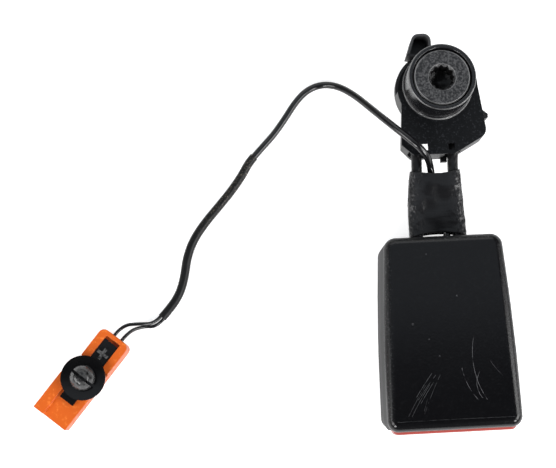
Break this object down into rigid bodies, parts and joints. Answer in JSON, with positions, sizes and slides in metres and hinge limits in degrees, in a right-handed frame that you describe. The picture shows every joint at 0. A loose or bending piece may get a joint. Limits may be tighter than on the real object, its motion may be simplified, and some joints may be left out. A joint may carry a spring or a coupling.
{
  "type": "seat belt buckle",
  "caption": "Seat belt buckle: black head with a red release button on a sleeved wire-rope stalk, a bolt-down anchor, and a switch lead ending in an orange connector with a fixing clip.",
  "frame": {"origin": "on the anchor bolt's axis, at the face of the bush that seats on the car body", "axes": "+Z along the bolt axis from the seat face to the bolt head, -Y from the anchor along the stalk to the buckle's mouth, +X completes the right-handed frame"},
  "size_m": [0.1852, 0.1571, 0.034],
  "materials": {
    "cover_black": "gloss",
    "button_red": "gloss",
    "frame_steel": "zinc plated",
    "spring_steel": "drawn wire",
    "rope_black": "black plastic coating over steel strands",
    "sleeve_black": "matt shrunk tube",
    "anchor_grey": "moulded",
    "anchor_black": "fine grain",
    "bolt_black": "dark phosphate",
    "ejector_white": "moulded",
    "switch_black": "moulded",
    "board_green": "solder mask",
    "magnet_grey": "nickel plated",
    "lead_black": "satin jacket",
    "connector_orange": "moulded",
    "clip_black": "moulded",
    "terminal_brass": "tinned edges"
  },
  "bodies": {
    "buckle": {"top_cover": "cover_black", "bottom_cover": "cover_black", "button_springs": "spring_steel", "buckle_frame": "frame_steel", "latch_spring": "spring_steel", "ejector_spring": "spring_steel", "rope_ferrules": "frame_steel", "wire_rope": "rope_black", "rope_thimble": "frame_steel", "stalk_sleeve": "sleeve_black", "anchor_housing": "anchor_grey", "anchor_cover": "anchor_black", "anchor_bush": "frame_steel", "bolt_collar": "anchor_black", "wave_washer": "spring_steel", "switch_housing": "switch_black", "switch_board": "board_green", "inner_lead": "lead_black", "switch_lead": "lead_black", "lead_sleeve": "lead_black", "lead_wires": "lead_black", "connector_housing": "connector_orange", "connector_terminals": "terminal_brass", "connector_clip": "clip_black"},
    "button": {"press_button": "button_red"},
    "ejector": {"ejector": "ejector_white", "switch_magnet": "magnet_grey"},
    "latch": {"latch_plate": "frame_steel"},
    "lock_pin": {"lock_pin": "frame_steel"},
    "bolt": {"anchor_bolt": "bolt_black"}
  },
  "joints": [
    {"name": "button_press", "type": "slide", "parent": "buckle", "child": "button", "axis": [0, 1, 0], "range_m": [0, 0.006], "stiffness_N_per_m": 900, "springref_m": -0.004, "deforming": ["button_springs"]},
    {"name": "ejector_slide", "type": "slide", "parent": "buckle", "child": "ejector", "axis": [0, 1, 0], "range_m": [0, 0.011], "stiffness_N_per_m": 500, "springref_m": -0.006, "deforming": ["ejector_spring"]},
    {"name": "latch_pivot", "type": "hinge", "parent": "buckle", "child": "latch", "pos_m": [-0.003, -0.0903, 0.0088], "axis": [1, 0, 0], "range_deg": [0, 10], "deforming": ["latch_spring"]},
    {"name": "lock_pin_slide", "type": "slide", "parent": "buckle", "child": "lock_pin", "axis": [0, -1, 0], "range_m": [0, 0.004]},
    {"name": "bolt_turn", "type": "hinge", "parent": "buckle", "child": "bolt", "pos_m": [0, 0, 0], "axis": [0, 0, 1], "continuous": true}
  ],
  "couplings": [
    {"joint": "latch_pivot", "follows": "ejector_slide", "rad_per_m": 15.86},
    {"joint": "lock_pin_slide", "follows": "ejector_slide", "ratio": 0.3636}
  ]
}
